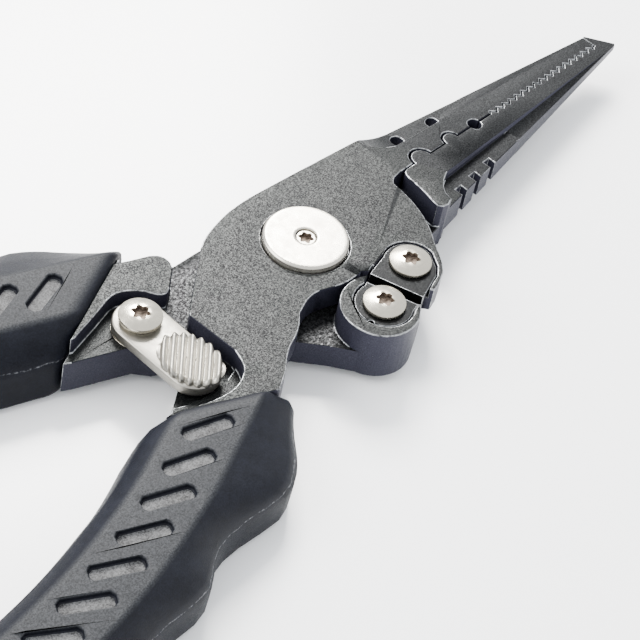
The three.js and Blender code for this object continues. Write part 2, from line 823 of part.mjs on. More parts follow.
// The full-height pad of the bottom arm beside the lock lever.
function bottomArmPad() {
  const corner = smooth(
    [
      [-24.1, 15.9],
      [-22.6, 14.6],
      [-22.3, 12.6],
      [-23.2, 10.9],
    ],
    8,
  );
  const leverPocket = smooth(
    [
      [-26.8, 8.3],
      [-28.2, 7.6],
      [-29.6, 8.3],
      [-31.2, 10.9],
      [-33.4, 12.7],
      [-36.1, 13.4],
      [-41.2, 12.2],
      [-47.7, 10.7],
    ],
    20,
  );
  const outline = [...corner, ...leverPocket, [-54, 12.6], [-52, 17], [-34, 20], [-30.2, 18.6], [-27.5, 17.3]];
  return prism(polygon(outline), LAP_LOWER - 1, BODY_TOP);
}

function lowerBladeOutline(gap) {
  const [x, y] = LOWER_BLADE_SCREW;
  return [
    ...arcPoints(5.3 + gap, 80, 300, 20, x, y),
    byCuttingEdge(CUT_LENGTH + gap, 0.8 + gap),
    byCuttingEdge(-gap, 0.8 + gap),
  ];
}

function bottomArm() {
  const boss = cylinder(BOSS.x, BOSS.y, BOSS.radius, BODY_BOTTOM, BODY_TOP, 18);
  const bladePocket = prism(polygon(lowerBladeOutline(0.3)), LOWER_BLADE_BOTTOM - 0.05, CLEAR_ABOVE);
  const bladeRoom = polygon([
    byCuttingEdge(-6, -0.3),
    byCuttingEdge(CUT_LENGTH + 6, -0.3),
    byCuttingEdge(CUT_LENGTH + 6, 9),
    byCuttingEdge(-6, 9),
  ]);
  const pivotSeat = cylinder(0, 0, PIVOT_COUNTERBORE, CLEAR_BELOW, PIVOT_SEAT_BOTTOM);
  return bottomArmPlate()
    .add(bottomArmPad())
    .add(bottomArmLeverSeat())
    .add(boss.subtract(prism(bladeRoom, LOWER_BLADE_BOTTOM, CLEAR_ABOVE)))
    .add(bottomJaw())
    .intersect(taperedSlab())
    .subtract(toBottomArm(behindFront(BOTTOM_GRIP_FRONT)))
    .add(toBottomArm(neckRoot(BOTTOM_GRIP_FRONT, 0)))
    .add(toBottomArm(tang(0)))
    .subtract(ledgeCut(-1))
    .subtract(bladePocket)
    .subtract(pivotSeat)
    .subtract(pivotHollows(-1, BOTTOM_LEG_DEG))
    .subtract(seamHole())
    .subtract(cylinder(...LOWER_BLADE_SCREW, SCREW_CLEARANCE, 3.4, CLEAR_ABOVE))
    .subtract(cylinder(...LEVER_SCREW, SCREW_CLEARANCE, 3, CLEAR_ABOVE));
}

function seamHole() {
  return cylinder(SEAM_HOLE.x, 0, SEAM_HOLE.radius, CLEAR_BELOW, CLEAR_ABOVE, 10);
}

// ---- Cutter ----

function upperBlade() {
  return prism(polygon(upperBladeOutline()), SHEAR_Z, UPPER_BLADE_TOP)
    .subtract(cylinder(...UPPER_BLADE_SCREW, SCREW_CLEARANCE, 0, CLEAR_ABOVE));
}

function lowerBlade() {
  const bevelWidth = 2.0;
  const cut = [
    [0.9, SHEAR_Z - BLADE_GAP - 0.25],
    [2, SHEAR_Z - BLADE_GAP],
    [2, CLEAR_ABOVE],
    [-bevelWidth - 0.2, CLEAR_ABOVE],
    [-bevelWidth - 0.2, LOWER_BLADE_TOP],
    [0, SHEAR_Z - BLADE_GAP],
  ];
  const long = new THREE.ExtrudeGeometry(polygon(cut), { depth: 30, bevelEnabled: false });
  const angle = Math.atan2(cutDirection.y, cutDirection.x);
  const bevel = solidOf(
    long
      .rotateX(Math.PI / 2)
      .translate(0, 15, 0)
      .rotateZ(angle + Math.PI / 2)
      .translate((CUT_START.x + CUT_END.x) / 2, (CUT_START.y + CUT_END.y) / 2, 0),
  );
  const keyNotch = prism(circle(-6.0, -20.7, 0.6), CLEAR_BELOW, CLEAR_ABOVE, 6);
  return prism(polygon(lowerBladeOutline(0)), LOWER_BLADE_BOTTOM, LOWER_BLADE_TOP)
    .subtract(bevel)
    .subtract(keyNotch)
    .subtract(cylinder(...LOWER_BLADE_SCREW, SCREW_CLEARANCE, 0, CLEAR_ABOVE));
}

// ---- Screws ----

// A socket with six rounded lobes.
function sixLobe(radius, x, y) {
  const points = [];
  for (let i = 0; i < 24; i++) {
    const ripple = 0.86 + 0.14 * Math.cos((6 * Math.PI * i) / 12);
    points.push(onCircle(radius * ripple, i * 15, x, y));
  }
  return polygon(points);
}

// A button-head screw: a short wall and a low spherical cap on a plain shank.
function buttonScrew([x, y], seat, tip) {
  const { head, wall, headHeight, shank, socket, socketDepth } = SCREW;
  const top = seat + headHeight;
  const capHeight = headHeight - wall;
  const capRadius = (head ** 2 + capHeight ** 2) / (2 * capHeight);
  const capDeg = THREE.MathUtils.radToDeg(Math.asin(head / capRadius));
  const cap = arcPoints(capRadius, 90 - capDeg, 90, 4, 0, top - capRadius);
  const under = 0.25;
  const foot = [[0, tip], [shank, tip], [shank, seat], [head - under, seat], [head, seat + under]];
  const body = turned([...foot, ...cap.slice(0, -1), [0, top]], x, y, 24);
  return body.subtract(prism(sixLobe(socket, x, y), top - socketDepth, CLEAR_ABOVE));
}

// ---- Pivot ----

function pivotBolt() {
  const { radius, chamfer } = PIVOT_DISC;
  return turned([
    [0, 0],
    [radius - chamfer, 0],
    [radius, chamfer],
    [radius, PIVOT_SEAT_BOTTOM - 0.4],
    [BARREL_RADIUS, PIVOT_SEAT_BOTTOM - 0.4],
    [BARREL_RADIUS, PIVOT_DISC.bottom - 0.1],
    [1.3, PIVOT_DISC.bottom - 0.1],
    [1.3, 5],
    [0, 4.6],
  ]);
}

function pivotBushing() {
  const bottom = PIVOT_SEAT_BOTTOM - 0.3;
  const top = PIVOT_DISC.bottom - 0.1;
  return turned([
    [BUSHING_INNER, bottom],
    [BUSHING_OUTER, bottom],
    [BUSHING_OUTER, top],
    [BUSHING_INNER, top],
  ]);
}

function pivotTopDisc() {
  const { radius, chamfer, top, bottom } = PIVOT_DISC;
  return turned([
    [1.3, bottom],
    [radius, bottom],
    [radius, top - chamfer],
    [radius - chamfer, top],
    [1.95, top],
    [1.95, top - 1.5],
    [1.3, top - 1.5],
  ]);
}

function pivotCentreScrew() {
  const head = PIVOT_DISC.top - 1.45;
  const top = PIVOT_DISC.top - 0.35;
  const body = turned(
    [
      [0, 6],
      [1.15, 6],
      [1.15, head],
      [1.8, head],
      [1.8, top - 0.15],
      [1.65, top],
      [0, top],
    ],
    0,
    0,
    24,
  );
  return body.subtract(prism(sixLobe(1.4, 0, 0), top - 0.8, CLEAR_ABOVE));
}

function ring({ inner, outer }, bottom, top, x = 0, y = 0, segments = 28) {
  return turned(
    [
      [inner, bottom],
      [outer, bottom],
      [outer, top],
      [inner, top],
    ],
    x,
    y,
    segments,
  );
}

// Centre line of the torsion spring: a leg out along the bottom arm's slot, a coil, and a leg out along the top arm's.
class SpringLine extends THREE.Curve {
  getPoint(t, target = new THREE.Vector3()) {
    const { radius, turns, bottom, top, leg } = SPRING;
    const legShare = 0.04;
    const coil = THREE.MathUtils.clamp((t - legShare) / (1 - 2 * legShare), 0, 1);
    const out = Math.max(0, legShare - t, t - (1 - legShare)) / legShare;
    const angle = THREE.MathUtils.degToRad(BOTTOM_LEG_DEG) + coil * turns * 2 * Math.PI;
    const reach = radius + (leg - radius) * out;
    return target.set(
      reach * Math.cos(angle),
      reach * Math.sin(angle),
      bottom + (top - bottom) * coil,
    );
  }
}

function returnSpring() {
  const wire = new THREE.Shape().absarc(0, 0, SPRING.wire, 0, 2 * Math.PI, false);
  const geometry = new THREE.ExtrudeGeometry(wire, {
    extrudePath: new SpringLine(),
    steps: 64,
    curveSegments: 3,
    bevelEnabled: false,
  });
  return solidOf(geometry);
}

// ---- Lock lever ----

function lockLever() {
  const { halfWidth, tipX, tipY, bottom, top, padTop } = LEVER;
  const outline = [
    ...arcPoints(halfWidth, 0, 180, 14, ...LEVER_SCREW),
    ...arcPoints(halfWidth, 180, 360, 14, tipX, tipY),
  ];
  const pad = LEVER_PAD;
  const oval = [];
  for (let i = 0; i < 36; i++) {
    const angle = (i * Math.PI) / 18;
    oval.push([pad.x + pad.halfWidth * Math.cos(angle), pad.y + pad.halfLength * Math.sin(angle)]);
  }
  let ribs = prism(polygon(oval), bottom + 0.2, padTop);
  const { pitch, groove, turnDeg } = LEVER_RIBS;
  const grooveLength = 30;
  for (let i = -3.5; i <= 3.5; i++) {
    const bar = new THREE.CylinderGeometry(groove, groove, grooveLength, 6).rotateZ(Math.PI / 2);
    bar.rotateZ(THREE.MathUtils.degToRad(turnDeg));
    bar.translate(...onCircle(i * pitch, turnDeg + 90, pad.x, pad.y), padTop + 0.05);
    ribs = ribs.subtract(solidOf(bar));
  }
  const { x, y, radius } = CATCH_STUD;
  return prism(polygon(outline), bottom, top)
    .add(ribs)
    .add(cylinder(x, y, radius, CATCH_FLOOR + 0.3, bottom + 0.5, 8))
    .subtract(cylinder(...LEVER_SCREW, SCREW_CLEARANCE, CLEAR_BELOW, CLEAR_ABOVE));
}

function leverRing({ outer, bottom, top }) {
  return ring({ inner: SCREW_CLEARANCE, outer }, bottom, top, ...LEVER_SCREW);
}

// ---- Looks and assembly ----

const DARK_BODY = { color: 0x5c6165, roughness: 0.45, metalness: 0.75 };
const BLADE = { color: 0x6a6e72, roughness: 0.3, metalness: 0.9 };
const STAINLESS = { color: 0xd6d2c8, roughness: 0.28, metalness: 1 };
const RUBBER = { color: 0x2b2d31, roughness: 0.75, metalness: 0 };
const BRONZE = { color: 0xa9783f, roughness: 0.4, metalness: 0.9 };
const POLYMER = { color: 0x202226, roughness: 0.6, metalness: 0 };

const washerBottom = BODY_MID - WASHER.thickness / 2;

const pliers = new THREE.Group();
pliers.add(
  meshOf("top_arm", topArm().subtract(seamHole()), DARK_BODY),
  meshOf("bottom_arm", bottomArm(), DARK_BODY),
  meshOf("top_arm_grip", topGrip(), RUBBER),
  meshOf("bottom_arm_grip", toBottomArm(gripSolid(BOTTOM_GRIP_FRONT)), RUBBER),
  meshOf("pivot_bolt", pivotBolt(), STAINLESS),
  meshOf("pivot_bushing", pivotBushing(), BRONZE),
  meshOf("pivot_top_disc", pivotTopDisc(), STAINLESS),
  meshOf("pivot_centre_screw", pivotCentreScrew(), STAINLESS),
  meshOf("lap_washer", ring(WASHER, washerBottom, washerBottom + WASHER.thickness), POLYMER),
  meshOf("return_spring", returnSpring(), STAINLESS),
  meshOf("upper_cutter_blade", upperBlade(), BLADE),
  meshOf("lower_cutter_blade", lowerBlade(), BLADE),
  meshOf("upper_blade_screw", buttonScrew(UPPER_BLADE_SCREW, UPPER_BLADE_TOP + 0.02, 7.6), STAINLESS),
  meshOf("lower_blade_screw", buttonScrew(LOWER_BLADE_SCREW, LOWER_BLADE_TOP + 0.02, 4), STAINLESS),
  meshOf("lock_lever", lockLever(), STAINLESS),
  meshOf("lock_lever_screw", buttonScrew(LEVER_SCREW, LEVER_WASHER.top + 0.02, 3.6), STAINLESS),
  meshOf("lock_lever_spacer", leverRing(LEVER_SPACER), STAINLESS),
  meshOf("lock_lever_washer", leverRing(LEVER_WASHER), STAINLESS),
);

export default pliers;
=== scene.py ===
import json
import math

import bmesh
import bpy
from mathutils import Matrix, Vector, kdtree
from mathutils.bvhtree import BVHTree


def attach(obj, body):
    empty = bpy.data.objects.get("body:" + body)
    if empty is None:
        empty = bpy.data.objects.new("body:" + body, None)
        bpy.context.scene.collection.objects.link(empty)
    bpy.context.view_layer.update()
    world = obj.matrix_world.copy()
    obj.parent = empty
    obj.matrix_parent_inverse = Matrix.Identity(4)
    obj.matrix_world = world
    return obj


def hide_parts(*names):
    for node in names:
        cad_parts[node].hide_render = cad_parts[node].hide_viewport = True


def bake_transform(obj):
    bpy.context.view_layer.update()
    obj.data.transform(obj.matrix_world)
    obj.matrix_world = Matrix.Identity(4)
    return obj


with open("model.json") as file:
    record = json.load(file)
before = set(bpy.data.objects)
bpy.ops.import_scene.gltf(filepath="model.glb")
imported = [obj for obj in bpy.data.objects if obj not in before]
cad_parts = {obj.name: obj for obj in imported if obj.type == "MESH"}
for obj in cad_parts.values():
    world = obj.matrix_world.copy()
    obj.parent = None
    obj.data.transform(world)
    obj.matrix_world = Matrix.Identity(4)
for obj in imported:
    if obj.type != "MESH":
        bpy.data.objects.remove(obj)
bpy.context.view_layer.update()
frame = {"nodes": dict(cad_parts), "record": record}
NODES = frame["nodes"]
BODY_NODES = frame["record"]["behaviour"]["bodies"]

# Sizes are in millimetres, in the CAD model's frame. The camera's distance, the lights and the floor
# are in metres.
MM = 0.001

# ---- Camera ----

VIEW_TARGET = Vector((-13.57, -15.02, 13.8)) * MM
VIEW_DISTANCE = 0.3785
VIEW_HEADING = math.radians(-58.5)
VIEW_DOWN = math.radians(46.69)
VIEW_ROLL = math.radians(12.77)
LENS_MM = 122.9


def add_camera():
    data = bpy.data.cameras.new("camera")
    data.lens = LENS_MM
    data.sensor_width = 36
    data.clip_start = 0.01
    turn = (
        Matrix.Rotation(VIEW_HEADING, 4, "Z")
        @ Matrix.Rotation(math.pi / 2 - VIEW_DOWN, 4, "X")
        @ Matrix.Rotation(VIEW_ROLL, 4, "Z")
    )
    camera = bpy.data.objects.new("camera", data)
    camera.matrix_world = Matrix.Translation(VIEW_TARGET) @ turn @ Matrix.Translation((0, 0, VIEW_DISTANCE))
    bpy.context.scene.collection.objects.link(camera)
    bpy.context.scene.camera = camera


# ---- Light and floor ----


def add_area_light(name, place, size, power, colour=(1, 1, 1)):
    data = bpy.data.lights.new(name, "AREA")
    data.shape = "RECTANGLE"
    data.size, data.size_y = size
    data.energy = power
    data.color = colour
    light = bpy.data.objects.new(name, data)
    place = Vector(place)
    light.matrix_world = Matrix.Translation(place) @ place.to_track_quat("Z", "Y").to_matrix().to_4x4()
    bpy.context.scene.collection.objects.link(light)


def add_lights():
    world = bpy.data.worlds.new("studio")
    bpy.context.scene.world = world
    world.use_nodes = True
    background = world.node_tree.nodes["Background"]
    background.inputs["Color"].default_value = (0.93, 0.96, 1.0, 1)
    background.inputs["Strength"].default_value = 2.1
    add_area_light("key", (0.42, 0.48, 0.62), (0.35, 0.35), 26, (1, 0.98, 0.95))
    add_area_light("left", (-0.5, 0.45, 0.5), (0.6, 0.6), 12)


FLOOR_HALF = 3.0
FLOOR_GAP = 0.0002


def add_floor():
    mesh = bpy.data.meshes.new("floor")
    half = FLOOR_HALF
    corners = [(-half, -half, 0), (half, -half, 0), (half, half, 0), (-half, half, 0)]
    mesh.from_pydata(corners, [], [(0, 1, 2, 3)])
    floor = bpy.data.objects.new("floor", mesh)
    bpy.context.scene.collection.objects.link(floor)
    floor.location.z = -FLOOR_GAP
    material = bpy.data.materials.new("floor_white")
    material.use_nodes = True
    shader = material.node_tree.nodes["Principled BSDF"]
    shader.inputs["Base Color"].default_value = (1.0, 1.0, 1.0, 1)
    shader.inputs["Roughness"].default_value = 0.22
    mesh.materials.append(material)


# ---- Material helpers ----


class Surface:
    """A principled material under construction, with short ways to add its nodes."""

    def __init__(self, name, metallic, roughness):
        self.material = bpy.data.materials.new(name)
        self.material.use_nodes = True
        self.tree = self.material.node_tree
        self.shader = self.tree.nodes["Principled BSDF"]
        self.shader.inputs["Metallic"].default_value = metallic
        self.shader.inputs["Roughness"].default_value = roughness
        self.place = self.tree.nodes.new("ShaderNodeTexCoord").outputs["Object"]

    def stretched(self, scale):
        mapping = self.tree.nodes.new("ShaderNodeMapping")
        mapping.inputs["Scale"].default_value = scale
        self.tree.links.new(self.place, mapping.inputs["Vector"])
        return mapping.outputs["Vector"]

    def noise(self, size_mm, detail=3.0, roughness=0.6, vector=None):
        """Noise whose lumps are about size_mm across."""
        node = self.tree.nodes.new("ShaderNodeTexNoise")
        node.inputs["Scale"].default_value = 1 / (size_mm * MM)
        node.inputs["Detail"].default_value = detail
        node.inputs["Roughness"].default_value = roughness
        self.tree.links.new(vector or self.place, node.inputs["Vector"])
        return node.outputs["Fac"]

    def remap(self, value, low, high, to_low=0.0, to_high=1.0):
        node = self.tree.nodes.new("ShaderNodeMapRange")
        node.inputs["From Min"].default_value = low
        node.inputs["From Max"].default_value = high
        node.inputs["To Min"].default_value = to_low
        node.inputs["To Max"].default_value = to_high
        self.tree.links.new(value, node.inputs["Value"])
        return node.outputs["Result"]

    def math(self, operation, a, b=None):
        node = self.tree.nodes.new("ShaderNodeMath")
        node.operation = operation
        for socket, value in zip(node.inputs, (a, b)):
            if isinstance(value, (int, float)):
                socket.default_value = value
            elif value is not None:
                self.tree.links.new(value, socket)
        return node.outputs["Value"]

    def mix(self, share, first, second):
        """Colour between two, each a colour or another node's output."""
        node = self.tree.nodes.new("ShaderNodeMix")
        node.data_type = "RGBA"
        self.tree.links.new(share, node.inputs["Factor"])
        for socket, value in ((node.inputs["A"], first), (node.inputs["B"], second)):
            if isinstance(value, tuple):
                socket.default_value = (*value, 1)
            else:
                self.tree.links.new(value, socket)
        return node.outputs["Result"]

    def colour(self, value):
        self.tree.links.new(value, self.shader.inputs["Base Color"])

    def rough(self, value):
        self.tree.links.new(value, self.shader.inputs["Roughness"])

    def bump(self, height, depth_mm, strength=1.0):
        node = self.tree.nodes.new("ShaderNodeBump")
        node.inputs["Distance"].default_value = depth_mm * MM
        node.inputs["Strength"].default_value = strength
        self.tree.links.new(height, node.inputs["Height"])
        self.tree.links.new(node.outputs["Normal"], self.shader.inputs["Normal"])

    def height(self):
        """Height above the floor's plane, in millimetres."""
        node = self.tree.nodes.new("ShaderNodeSeparateXYZ")
        self.tree.links.new(self.place, node.inputs["Vector"])
        return self.math("DIVIDE", node.outputs["Z"], MM)

    def radius(self):
        """Distance from the piece's own upright axis, in metres."""
        flat = self.stretched((1, 1, 0))
        node = self.tree.nodes.new("ShaderNodeVectorMath")
        node.operation = "LENGTH"
        self.tree.links.new(flat, node.inputs[0])
        return node.outputs["Value"]


# ---- Metals ----


def grained_metal(name, dark, light, roughness, metallic=0.82, grain_mm=0.24, bump_mm=0.018):
    """Coated metal with a fine speckle, faint broad blotches and small pits."""
    s = Surface(name, metallic, roughness)
    speckle = s.remap(s.noise(grain_mm, 2.0, 0.8), 0.42, 0.64)
    blotch = s.remap(s.noise(6, 3.0), 0.35, 0.7, 0.0, 0.12)
    share = s.math("ADD", s.math("MULTIPLY", speckle, 0.85), blotch)
    s.colour(s.mix(share, dark, light))
    s.rough(s.remap(speckle, 0, 1, roughness + 0.08, roughness - 0.06))
    s.shader.inputs["Specular IOR Level"].default_value = 0.15
    s.bump(s.noise(grain_mm * 1.3, 2.0, 0.6), bump_mm)
    return s.material


def patchy_edge_highlight(name, coat, highlight):
    """Edges with a painted highlight in patches, for the light that rounded edges catch."""
    s = Surface(name, 0.8, 0.34)
    patches = s.remap(s.noise(0.9, 4.0, 0.7), 0.36, 0.56)
    grain = s.noise(0.12, 2.0)
    # The light patches are painted highlight; between them the edge keeps the coat's colour.
    s.colour(s.mix(patches, coat, s.mix(grain, tuple(0.7 * c for c in highlight), highlight)))
    s.rough(s.remap(patches, 0, 1, 0.45, 0.3))
    s.bump(grain, 0.01)
    return s.material


def turned_steel(name, colour, roughness):
    """Bright steel with fine rings round its own axis."""
    s = Surface(name, 0.95, roughness)
    rings = s.tree.nodes.new("ShaderNodeCombineXYZ")
    s.tree.links.new(s.radius(), rings.inputs["X"])
    ring_noise = s.noise(0.06, 1.0, 0.5, rings.outputs["Vector"])
    smear = s.remap(s.noise(1.6, 3.0), 0.35, 0.7)
    s.colour(s.mix(s.remap(ring_noise, 0.3, 0.7), tuple(0.82 * c for c in colour), colour))
    s.rough(s.remap(smear, 0, 1, roughness - 0.05, roughness + 0.09))
    s.bump(ring_noise, 0.006)
    return s.material


def brushed_steel(name, colour, roughness, stretch):
    """Satin steel brushed along one direction; stretch is the noise's scale on each axis."""
    s = Surface(name, 0.92, roughness)
    lines = s.noise(0.22, 3.0, 0.7, s.stretched(stretch))
    smear = s.remap(s.noise(2.2, 3.0), 0.35, 0.7)
    s.colour(s.mix(s.remap(lines, 0.3, 0.7), tuple(0.78 * c for c in colour), colour))
    s.rough(s.remap(smear, 0, 1, roughness - 0.06, roughness + 0.1))
    s.bump(lines, 0.008)
    return s.material


def dark_socket_colour():
    """Dark brownish colour for a screw's socket."""
    s = Surface("dark_socket_colour", 0.5, 0.55)
    spots = s.remap(s.noise(0.4, 3.0), 0.35, 0.65)
    s.colour(s.mix(spots, (0.045, 0.03, 0.02), (0.16, 0.12, 0.09)))
    s.bump(s.noise(0.2), 0.02)
    return s.material


# ---- Rubber ----

PARTING_HEIGHT = 8.25


def rubber_surface(name, dark, light):
    """Fine moulded grain with dust in its low spots."""
    s = Surface(name, 0.0, 0.5)
    grain = s.noise(0.3, 3.0, 0.75)
    cloud = s.remap(s.noise(2.5, 4.0), 0.35, 0.7, 0.0, 0.4)
    share = s.math("ADD", s.math("MULTIPLY", s.remap(grain, 0.38, 0.64), 0.6), cloud)
    s.rough(s.remap(grain, 0.3, 0.7, 0.42, 0.62))
    s.shader.inputs["Specular IOR Level"].default_value = 0.1
    s.bump(grain, 0.04)
    return s, s.mix(share, dark, light)


def grip_skin():
    """The band on top is painted greyer than the sides, a painted sheen of the light from above, with a dust
    speckle; the sides carry the mould's broken parting line.
    """
    s, side = rubber_surface("grip_skin", (0.003, 0.0033, 0.005), (0.009, 0.01, 0.015))
    wander = s.remap(s.noise(5.0, 2.0), 0.3, 0.7, -0.25, 0.25)
    level = s.math("ADD", s.height(), wander)
    away = s.math("ABSOLUTE", s.math("SUBTRACT", level, PARTING_HEIGHT))
    broken = s.remap(s.noise(0.7, 4.0, 0.8), 0.46, 0.6)
    flash = s.math("MULTIPLY", s.remap(away, 0.04, 0.18, 0.55, 0.0), broken)
    side = s.mix(flash, side, (0.2, 0.205, 0.22))
    dust = s.remap(s.noise(0.28, 3.0, 0.8), 0.4, 0.62)
    # The band's colours sit above the sides' as a painted sheen of the light from above; the dust mask
    # speckles them.
    band = s.mix(dust, (0.01, 0.0107, 0.012), (0.034, 0.0355, 0.039))
    s.colour(s.mix(s.remap(s.height(), 13.95, 14.38), side, band))
    return s.material


def grip_window_floor():
    s, tint = rubber_surface("grip_window_floor", (0.004, 0.004, 0.0045), (0.14, 0.14, 0.142))
    s.colour(tint)
    return s.material


def moulded_polymer():
    s = Surface("lap_polymer", 0.0, 0.5)
    s.colour(s.mix(s.remap(s.noise(0.5), 0.3, 0.7), (0.006, 0.006, 0.007), (0.02, 0.02, 0.024)))
    s.bump(s.noise(0.2), 0.01)
    return s.material


# ---- Mesh helpers ----


# Corners within WELD are joined. A triangle over SMALLEST_TRIANGLE square millimetres is folded when its
# normal agrees with its face's by less than FOLDED_BELOW. A corner has strayed when it is further from
# the CAD's surface than STRAYED_FROM of the rounding's width. An edge with an end within TIGHT_REACH of
# such a place stays sharp.
WELD = 0.004
SMALLEST_TRIANGLE = 0.005
FOLDED_BELOW = 0.2
STRAYED_FROM = 0.7
ROUNDING_RETRIES = 8
TIGHT_REACH = 0.5
FLAT_FROM = 0.985


def cleaned(node):
    """The CAD node's mesh with shared corners."""
    bm = bmesh.new()
    bm.from_mesh(NODES[node].data)
    bmesh.ops.remove_doubles(bm, verts=bm.verts, dist=WELD * MM)
    bmesh.ops.recalc_face_normals(bm, faces=bm.faces)
    return bm


def folds(bm, surface, width):
    """Corners of the triangles that a rounding has turned over or thrown off the CAD's surface."""
    found = []
    for loops in bm.calc_loop_triangles():
        a, b, c = (loop.vert.co for loop in loops)
        across = (b - a).cross(c - a)
        agreement = across.normalized().dot(loops[0].face.normal)
        if across.length > 2 * SMALLEST_TRIANGLE * MM * MM and agreement < FOLDED_BELOW:
            found += [a, b, c]
    for vert in bm.verts:
        if surface.find_nearest(vert.co)[3] > STRAYED_FROM * width:
            found += [vert.co] + [edge.other_vert(vert).co for edge in vert.link_edges]
    return [spot.copy() for spot in found]


def as_piece(bm, name, materials, crisp=50):
    """An object made of the mesh; edges bent by more than crisp degrees stay sharp."""
    mesh = bpy.data.meshes.new(name)
    bm.to_mesh(mesh)
    bm.free()
    for material in materials:
        mesh.materials.append(material)
    mesh.set_sharp_from_angle(angle=math.radians(crisp))
    piece = bpy.data.objects.new(name, mesh)
    bpy.context.scene.collection.objects.link(piece)
    return piece


def finish(piece, node):
    """Lets the piece stand for the CAD node, on the node's own body."""
    body = next(name for name, nodes in BODY_NODES.items() if node in nodes)
    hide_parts(node)
    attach(piece, body)


def bevelled(node, materials, width_mm, edge_slot=0, segments=2, angle=32):
    """A copy of a CAD node with its sharp edges rounded; the roundings take their own material.

    Edges that can't be rounded without a fold are left sharp and the rest rounded again, up to
    ROUNDING_RETRIES times. Folds that the last try still has are kept.
    """
    tight = []
    surface = BVHTree.FromBMesh(cleaned(node))
    for attempt in range(ROUNDING_RETRIES + 1):
        bm = cleaned(node)
        sharp = [e for e in bm.edges if len(e.link_faces) == 2 and e.calc_face_angle() > math.radians(angle)]
        if tight:
            tree = kdtree.KDTree(len(tight))
            for i, spot in enumerate(tight):
                tree.insert(spot, i)
            tree.balance()
            sharp = [e for e in sharp if all(tree.find(v.co)[2] > TIGHT_REACH * MM for v in e.verts)]
        bmesh.ops.bevel(
            bm,
            geom=sharp,
            offset=width_mm * MM,
            segments=segments,
            profile=0.5,
            affect="EDGES",
            clamp_overlap=False,
            loop_slide=True,
            material=edge_slot,
        )
        bm.normal_update()
        found = folds(bm, surface, width_mm * MM)
        if not found or attempt == ROUNDING_RETRIES:
            break
        tight += found
        bm.free()
    for face in bm.faces:
        face.smooth = abs(face.normal.z) < FLAT_FROM
    piece = as_piece(bm, node + "_finished", materials)
    weighting = piece.modifiers.new("weighting", "WEIGHTED_NORMAL")
    weighting.keep_sharp = True
    weighting.weight = 60
    finish(piece, node)
    return piece


def round_loop(bm, centre, radius, height, count=48):
    loop = []
    for i in range(count):
        angle = 2 * math.pi * i / count
        x = centre[0] + radius * math.cos(angle)
        y = centre[1] + radius * math.sin(angle)
        loop.append(bm.verts.new((x * MM, y * MM, height * MM)))
    return loop


def bridge(bm, low, high):
    for i in range(len(low)):
        j = (i + 1) % len(low)
        bm.faces.new((low[i], low[j], high[j], high[i]))


def fill_between(bm, loops):
    edges = [bm.edges.get((a, b)) for loop in loops for a, b in zip(loop, loop[1:] + loop[:1])]
    bmesh.ops.triangle_fill(bm, edges=edges, use_beauty=True, use_dissolve=False)


# ---- Arms ----

ARM_FACE = ((0.003, 0.0033, 0.0036), (0.034, 0.0357, 0.0352))
JAW_FACE = ((0.0022, 0.0024, 0.0027), (0.027, 0.028, 0.029))
# ARM_WALL is the arm's metal with a painted bluish reflection for the upright walls, so they look navy from
# other sides.
ARM_WALL = ((0.018, 0.018, 0.028), (0.034, 0.034, 0.05))
ARM_CAST = ((0.0025, 0.0027, 0.003), (0.04, 0.041, 0.042))


def arm_materials():
    return [
        grained_metal("arm_face", *ARM_FACE, 0.42),
        grained_metal("arm_wall", *ARM_WALL, 0.45, 0.45, 0.2, 0.01),
        # The roundings get a patchy painted highlight.
        patchy_edge_highlight("arm_edge", (0.03, 0.031, 0.034), (0.34, 0.35, 0.36)),
        grained_metal("arm_cast", *ARM_CAST, 0.38, 0.8, 0.6, 0.12),
        grained_metal("jaw_face", *JAW_FACE, 0.42),
    ]


ARM_ROUNDING = 0.18
LARGEST_EDGE_FACE = 0.4
JAW_FROM = 33
CAST_FROM, CAST_TO, CAST_BELOW = -30, 24, 8


def add_arms(materials):
    """Flat faces, walls, roundings and jaws differ: the walls by a painted bluish reflection, the roundings
    by a patchy painted highlight; the lower plate's upward faces keep the cast skin.
    """
    face, wall, edge, cast, jaw = range(5)
    for node in ("top_arm", "bottom_arm"):
        arm = bevelled(node, materials, ARM_ROUNDING, edge)
        for polygon in arm.data.polygons:
            # Broad faces among the roundings count as flat ones.
            if polygon.material_index == edge and polygon.area > LARGEST_EDGE_FACE * MM * MM:
                polygon.material_index = face
            if polygon.material_index == edge:
                continue
            polygon.material_index = face if abs(polygon.normal.z) > 0.5 else wall
            low = polygon.center.z < CAST_BELOW * MM
            around_pivot = CAST_FROM * MM < polygon.center.x < CAST_TO * MM
            if polygon.normal.z > 0.5 and low and around_pivot:
                polygon.material_index = cast
            if polygon.material_index == face and polygon.center.x > JAW_FROM * MM:
                polygon.material_index = jaw


# ---- Turned pieces ----


LOBE_DEPTH = 0.14


